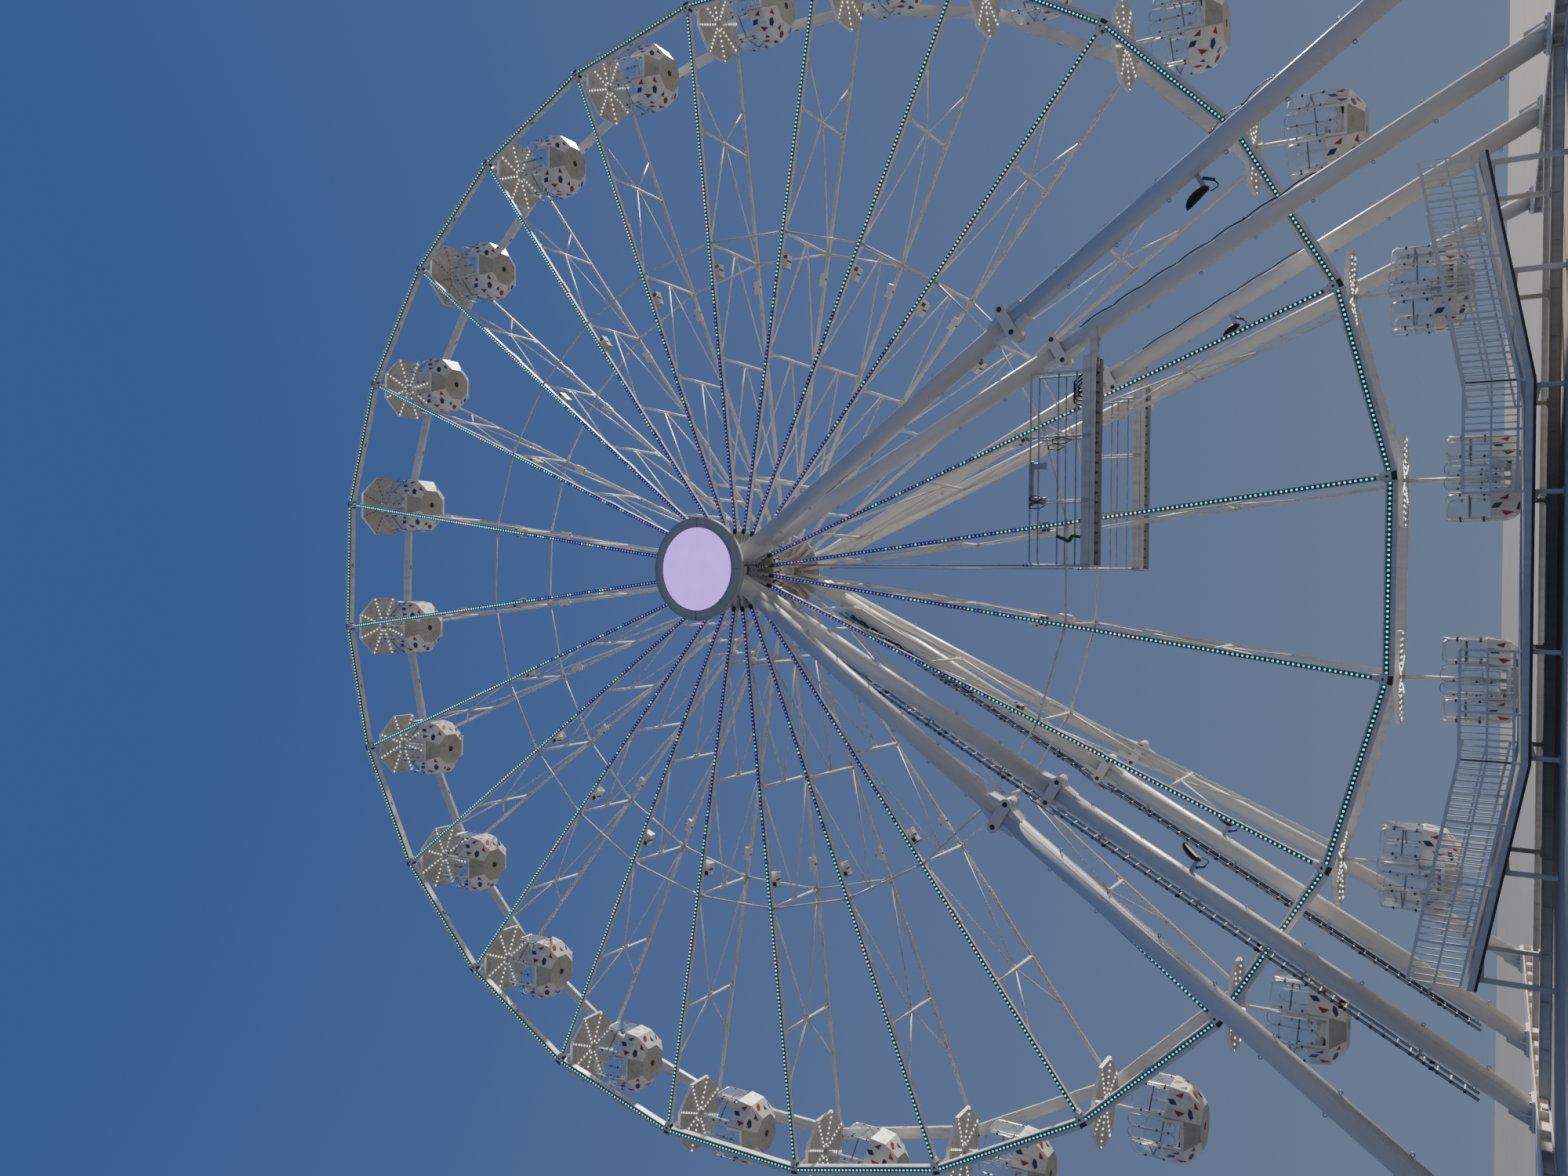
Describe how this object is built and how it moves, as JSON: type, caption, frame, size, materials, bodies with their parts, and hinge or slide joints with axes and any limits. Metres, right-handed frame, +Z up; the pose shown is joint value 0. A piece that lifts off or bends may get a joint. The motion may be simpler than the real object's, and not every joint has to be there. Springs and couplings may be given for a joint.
{
  "type": "ferris wheel",
  "caption": "Large white ferris wheel with a double polygonal rim, flat spoke trusses and round open cabins that stay level, on raked tubular legs with a boarding platform.",
  "frame": {"origin": "middle of the ground frame at ground level, below the hub", "axes": "+Z up, the axle along Y, the front with the round display towards -Y, +X to the right seen from the front"},
  "size_m": [36.757, 19.9, 37.9219],
  "materials": {
    "steel": "white gloss paint",
    "cabin": "white gloss paint",
    "display": "dark satin paint",
    "aluminium": "plain mill finish",
    "rope": "galvanised wire"
  },
  "bodies": {
    "stand": {"front_head": "steel", "rear_head": "steel", "leg_front_left_outer": "steel", "leg_front_left_inner": "steel", "leg_front_right_outer": "steel", "leg_front_right_inner": "steel", "leg_rear_left_outer": "steel", "leg_rear_left_inner": "steel", "leg_rear_right_outer": "steel", "leg_rear_right_inner": "steel", "ground_beam_left": "steel", "ground_beam_right": "steel", "cross_beam_front": "steel", "cross_beam_rear": "steel", "display": "display", "walkway_front": "aluminium", "walkway_rear": "aluminium", "ladder_front": "aluminium", "ladder_rear": "aluminium", "rope_front_near": "rope", "rope_front_far": "rope", "rope_rear_near": "rope", "rope_rear_far": "rope", "boarding_deck": "aluminium"},
    "wheel": {"front_rim": "steel", "rear_rim": "steel", "hub_drum": "steel", "spokes_1": "steel", "spokes_2": "steel", "spokes_3": "steel", "spokes_4": "steel", "spokes_5": "steel", "spokes_6": "steel", "spokes_7": "steel", "spokes_8": "steel"},
    "cabin_01": {"cabin_01": "cabin"},
    "cabin_02": {"cabin_02": "cabin"},
    "cabin_03": {"cabin_03": "cabin"},
    "cabin_04": {"cabin_04": "cabin"},
    "cabin_05": {"cabin_05": "cabin"},
    "cabin_06": {"cabin_06": "cabin"},
    "cabin_07": {"cabin_07": "cabin"},
    "cabin_08": {"cabin_08": "cabin"},
    "cabin_09": {"cabin_09": "cabin"},
    "cabin_10": {"cabin_10": "cabin"},
    "cabin_11": {"cabin_11": "cabin"},
    "cabin_12": {"cabin_12": "cabin"},
    "cabin_13": {"cabin_13": "cabin"},
    "cabin_14": {"cabin_14": "cabin"},
    "cabin_15": {"cabin_15": "cabin"},
    "cabin_16": {"cabin_16": "cabin"},
    "cabin_17": {"cabin_17": "cabin"},
    "cabin_18": {"cabin_18": "cabin"},
    "cabin_19": {"cabin_19": "cabin"},
    "cabin_20": {"cabin_20": "cabin"},
    "cabin_21": {"cabin_21": "cabin"},
    "cabin_22": {"cabin_22": "cabin"},
    "cabin_23": {"cabin_23": "cabin"},
    "cabin_24": {"cabin_24": "cabin"}
  },
  "joints": [
    {"name": "wheel_spin", "type": "hinge", "parent": "stand", "child": "wheel", "pos_m": [0, 0, 20.4], "axis": [0, 1, 0], "continuous": true},
    {"name": "cabin_01_swing", "type": "hinge", "parent": "wheel", "child": "cabin_01", "pos_m": [2.3773, 0, 37.6873], "axis": [0, 1, 0], "continuous": true},
    {"name": "cabin_02_swing", "type": "hinge", "parent": "wheel", "child": "cabin_02", "pos_m": [6.7706, 0, 36.483], "axis": [0, 1, 0], "continuous": true},
    {"name": "cabin_03_swing", "type": "hinge", "parent": "wheel", "child": "cabin_03", "pos_m": [10.7024, 0, 34.1826], "axis": [0, 1, 0], "continuous": true},
    {"name": "cabin_04_swing", "type": "hinge", "parent": "wheel", "child": "cabin_04", "pos_m": [13.905, 0, 30.943], "axis": [0, 1, 0], "continuous": true},
    {"name": "cabin_05_swing", "type": "hinge", "parent": "wheel", "child": "cabin_05", "pos_m": [16.1599, 0, 26.9849], "axis": [0, 1, 0], "continuous": true},
    {"name": "cabin_06_swing", "type": "hinge", "parent": "wheel", "child": "cabin_06", "pos_m": [17.3135, 0, 22.578], "axis": [0, 1, 0], "continuous": true},
    {"name": "cabin_07_swing", "type": "hinge", "parent": "wheel", "child": "cabin_07", "pos_m": [17.2873, 0, 18.0227], "axis": [0, 1, 0], "continuous": true},
    {"name": "cabin_08_swing", "type": "hinge", "parent": "wheel", "child": "cabin_08", "pos_m": [16.083, 0, 13.6294], "axis": [0, 1, 0], "continuous": true},
    {"name": "cabin_09_swing", "type": "hinge", "parent": "wheel", "child": "cabin_09", "pos_m": [13.7826, 0, 9.6976], "axis": [0, 1, 0], "continuous": true},
    {"name": "cabin_10_swing", "type": "hinge", "parent": "wheel", "child": "cabin_10", "pos_m": [10.543, 0, 6.495], "axis": [0, 1, 0], "continuous": true},
    {"name": "cabin_11_swing", "type": "hinge", "parent": "wheel", "child": "cabin_11", "pos_m": [6.5849, 0, 4.2401], "axis": [0, 1, 0], "continuous": true},
    {"name": "cabin_12_swing", "type": "hinge", "parent": "wheel", "child": "cabin_12", "pos_m": [2.178, 0, 3.0865], "axis": [0, 1, 0], "continuous": true},
    {"name": "cabin_13_swing", "type": "hinge", "parent": "wheel", "child": "cabin_13", "pos_m": [-2.3773, 0, 3.1127], "axis": [0, 1, 0], "continuous": true},
    {"name": "cabin_14_swing", "type": "hinge", "parent": "wheel", "child": "cabin_14", "pos_m": [-6.7706, 0, 4.317], "axis": [0, 1, 0], "continuous": true},
    {"name": "cabin_15_swing", "type": "hinge", "parent": "wheel", "child": "cabin_15", "pos_m": [-10.7024, 0, 6.6174], "axis": [0, 1, 0], "continuous": true},
    {"name": "cabin_16_swing", "type": "hinge", "parent": "wheel", "child": "cabin_16", "pos_m": [-13.905, 0, 9.857], "axis": [0, 1, 0], "continuous": true},
    {"name": "cabin_17_swing", "type": "hinge", "parent": "wheel", "child": "cabin_17", "pos_m": [-16.1599, 0, 13.8151], "axis": [0, 1, 0], "continuous": true},
    {"name": "cabin_18_swing", "type": "hinge", "parent": "wheel", "child": "cabin_18", "pos_m": [-17.3135, 0, 18.222], "axis": [0, 1, 0], "continuous": true},
    {"name": "cabin_19_swing", "type": "hinge", "parent": "wheel", "child": "cabin_19", "pos_m": [-17.2873, 0, 22.7773], "axis": [0, 1, 0], "continuous": true},
    {"name": "cabin_20_swing", "type": "hinge", "parent": "wheel", "child": "cabin_20", "pos_m": [-16.083, 0, 27.1706], "axis": [0, 1, 0], "continuous": true},
    {"name": "cabin_21_swing", "type": "hinge", "parent": "wheel", "child": "cabin_21", "pos_m": [-13.7826, 0, 31.1024], "axis": [0, 1, 0], "continuous": true},
    {"name": "cabin_22_swing", "type": "hinge", "parent": "wheel", "child": "cabin_22", "pos_m": [-10.543, 0, 34.305], "axis": [0, 1, 0], "continuous": true},
    {"name": "cabin_23_swing", "type": "hinge", "parent": "wheel", "child": "cabin_23", "pos_m": [-6.5849, 0, 36.5599], "axis": [0, 1, 0], "continuous": true},
    {"name": "cabin_24_swing", "type": "hinge", "parent": "wheel", "child": "cabin_24", "pos_m": [-2.178, 0, 37.7135], "axis": [0, 1, 0], "continuous": true}
  ],
  "couplings": [
    {"joint": "cabin_01_swing", "follows": "wheel_spin", "ratio": -1},
    {"joint": "cabin_02_swing", "follows": "wheel_spin", "ratio": -1},
    {"joint": "cabin_03_swing", "follows": "wheel_spin", "ratio": -1},
    {"joint": "cabin_04_swing", "follows": "wheel_spin", "ratio": -1},
    {"joint": "cabin_05_swing", "follows": "wheel_spin", "ratio": -1},
    {"joint": "cabin_06_swing", "follows": "wheel_spin", "ratio": -1},
    {"joint": "cabin_07_swing", "follows": "wheel_spin", "ratio": -1},
    {"joint": "cabin_08_swing", "follows": "wheel_spin", "ratio": -1},
    {"joint": "cabin_09_swing", "follows": "wheel_spin", "ratio": -1},
    {"joint": "cabin_10_swing", "follows": "wheel_spin", "ratio": -1},
    {"joint": "cabin_11_swing", "follows": "wheel_spin", "ratio": -1},
    {"joint": "cabin_12_swing", "follows": "wheel_spin", "ratio": -1},
    {"joint": "cabin_13_swing", "follows": "wheel_spin", "ratio": -1},
    {"joint": "cabin_14_swing", "follows": "wheel_spin", "ratio": -1},
    {"joint": "cabin_15_swing", "follows": "wheel_spin", "ratio": -1},
    {"joint": "cabin_16_swing", "follows": "wheel_spin", "ratio": -1},
    {"joint": "cabin_17_swing", "follows": "wheel_spin", "ratio": -1},
    {"joint": "cabin_18_swing", "follows": "wheel_spin", "ratio": -1},
    {"joint": "cabin_19_swing", "follows": "wheel_spin", "ratio": -1},
    {"joint": "cabin_20_swing", "follows": "wheel_spin", "ratio": -1},
    {"joint": "cabin_21_swing", "follows": "wheel_spin", "ratio": -1},
    {"joint": "cabin_22_swing", "follows": "wheel_spin", "ratio": -1},
    {"joint": "cabin_23_swing", "follows": "wheel_spin", "ratio": -1},
    {"joint": "cabin_24_swing", "follows": "wheel_spin", "ratio": -1}
  ]
}
